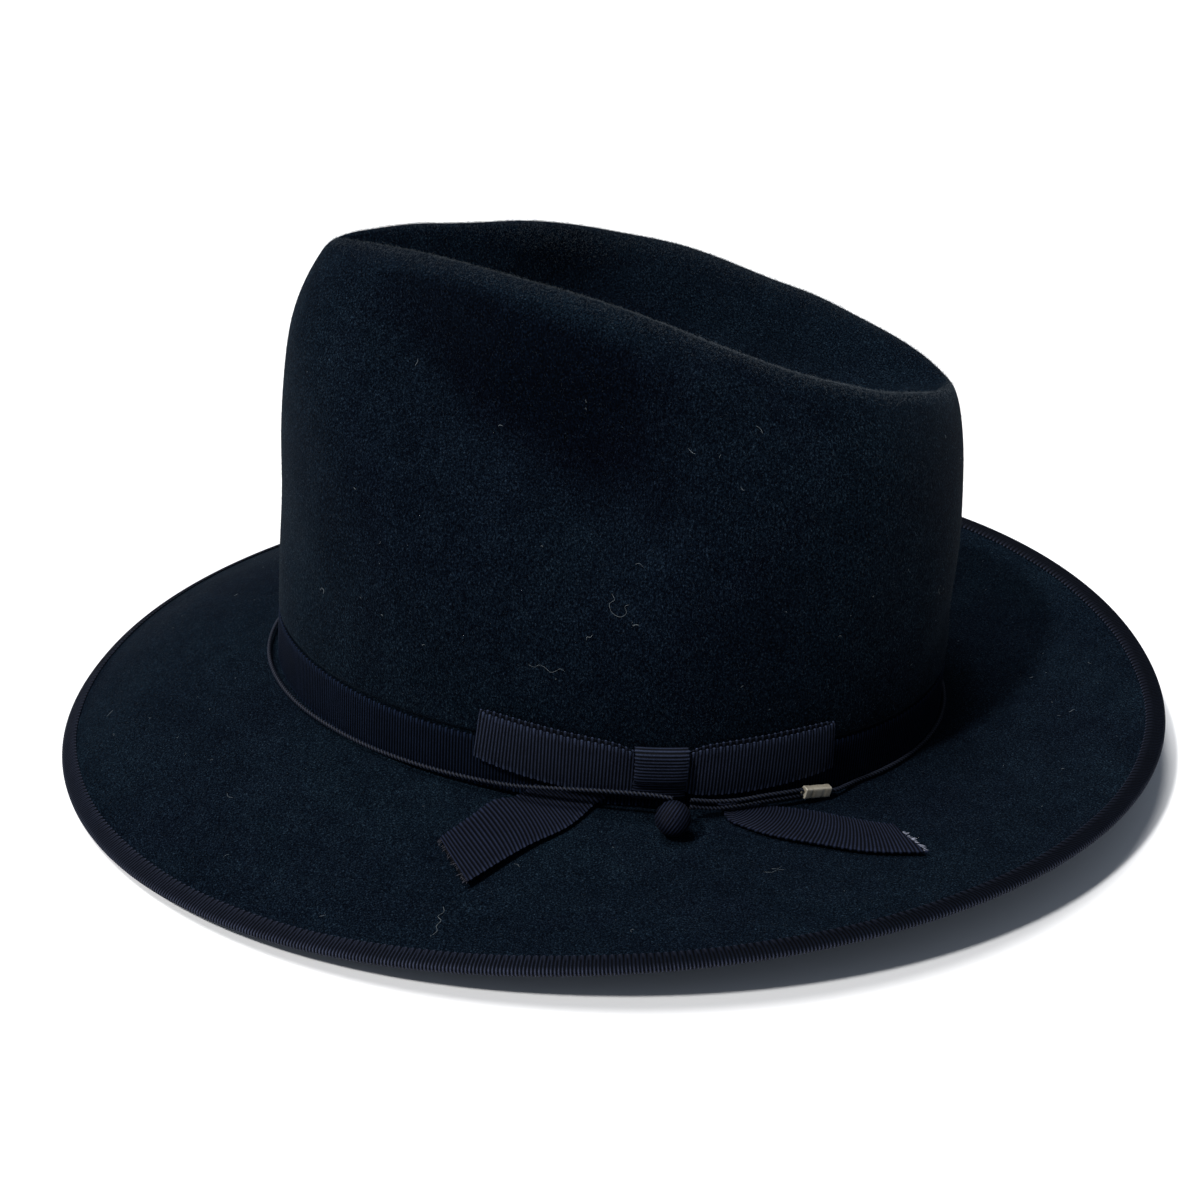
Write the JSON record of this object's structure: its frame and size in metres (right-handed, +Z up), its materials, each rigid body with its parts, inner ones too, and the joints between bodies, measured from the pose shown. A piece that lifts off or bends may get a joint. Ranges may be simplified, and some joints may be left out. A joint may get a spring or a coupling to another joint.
{
  "type": "felt fedora hat",
  "caption": "Black fur-felt fedora with a teardrop crease, snap brim with bound edge, narrow grosgrain band with flat bow, and a wind cord with covered button.",
  "frame": {"origin": "centre of the outline on the surface that the hat rests on", "axes": "+Z up, -Y to the front of the hat, +X to the wearer's left, the side with the bow"},
  "size_m": [0.2936, 0.3355, 0.1415],
  "materials": {
    "felt": "short-napped black fur felt with a cool blue cast",
    "ribbon": "fine-ribbed blue-black grosgrain ribbon",
    "cord": "thin braided blue-black cord and covered button",
    "ferrule_metal": "pale tarnished brass"
  },
  "bodies": {
    "root": {"felt_body": "felt", "brim_binding": "ribbon", "hat_band": "ribbon", "bow_loop_front": "ribbon", "bow_loop_back": "ribbon", "bow_knot": "ribbon", "bow_tail_front": "ribbon", "bow_tail_back": "ribbon", "wind_cord": "cord", "cord_strand_upper": "cord", "cord_strand_lower": "cord", "cord_button": "cord", "cord_ferrule": "ferrule_metal"}
  },
  "joints": []
}
